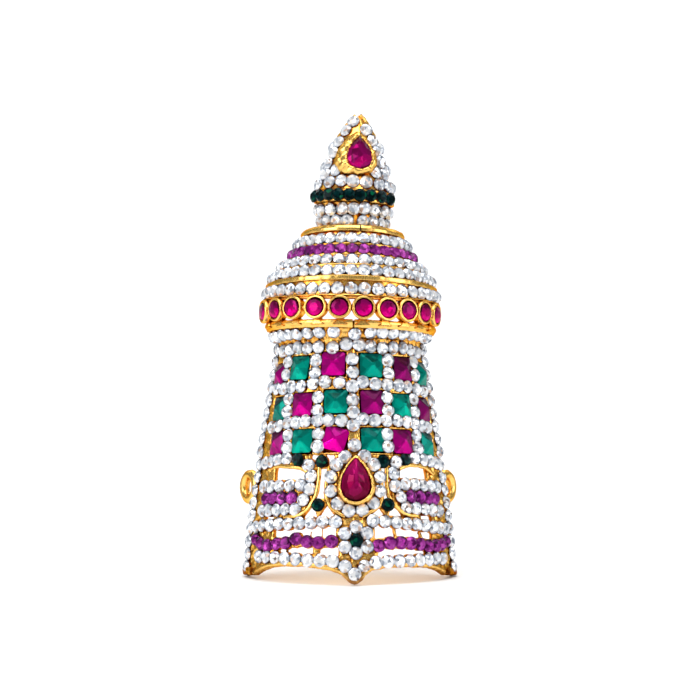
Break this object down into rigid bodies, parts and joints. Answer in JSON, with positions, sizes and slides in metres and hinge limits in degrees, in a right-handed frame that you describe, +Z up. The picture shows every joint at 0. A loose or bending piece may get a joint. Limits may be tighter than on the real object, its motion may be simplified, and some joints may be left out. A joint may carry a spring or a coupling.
{
  "type": "deity half crown",
  "caption": "Half-round tapering cast crown for a deity figure, open behind, set with glass stones, with a pierced base panel, a ring of collets, a stepped dome and a bud finial.",
  "frame": {"origin": "on the surface that the crown stands on, below the axis of its half shell", "axes": "+Z up from the surface; the front of the crown faces -Y, and its open back faces +Y; +X is to the right as the front is seen. The crown's own axis leans back from +Z by about 7 degrees, because its front point hangs lower than its rear feet"},
  "size_m": [0.0458, 0.0343, 0.0969],
  "materials": {
    "gold_metal": "gold-plated cast metal, bright with small casting ripples",
    "ruby_glass": "polished foil-backed glass",
    "pink_glass": "polished foil-backed glass",
    "green_glass": "polished foil-backed glass",
    "clear_glass": "polished foil-backed glass",
    "purple_glass": "polished foil-backed glass",
    "dark_green_glass": "polished foil-backed glass"
  },
  "bodies": {
    "root": {"crown_frame": "gold_metal", "ruby_1": "ruby_glass", "ruby_2": "ruby_glass", "ruby_3": "ruby_glass", "ruby_4": "ruby_glass", "ruby_5": "ruby_glass", "ruby_6": "ruby_glass", "ruby_7": "ruby_glass", "ruby_8": "ruby_glass", "ruby_9": "ruby_glass", "ruby_10": "ruby_glass", "base_pear_stone": "ruby_glass", "finial_pear_stone": "ruby_glass", "pink_square_1": "pink_glass", "pink_square_2": "pink_glass", "pink_square_3": "pink_glass", "pink_square_4": "pink_glass", "pink_square_5": "pink_glass", "pink_square_6": "pink_glass", "pink_square_7": "pink_glass", "pink_square_8": "pink_glass", "pink_square_9": "pink_glass", "green_square_1": "green_glass", "green_square_2": "green_glass", "green_square_3": "green_glass", "green_square_4": "green_glass", "green_square_5": "green_glass", "green_square_6": "green_glass", "green_square_7": "green_glass", "green_square_8": "green_glass", "green_square_9": "green_glass", "base_clears": "clear_glass", "dome_clears": "clear_glass", "base_purples": "purple_glass", "dome_purples": "purple_glass", "base_greens": "dark_green_glass", "bud_greens": "dark_green_glass"}
  },
  "joints": []
}
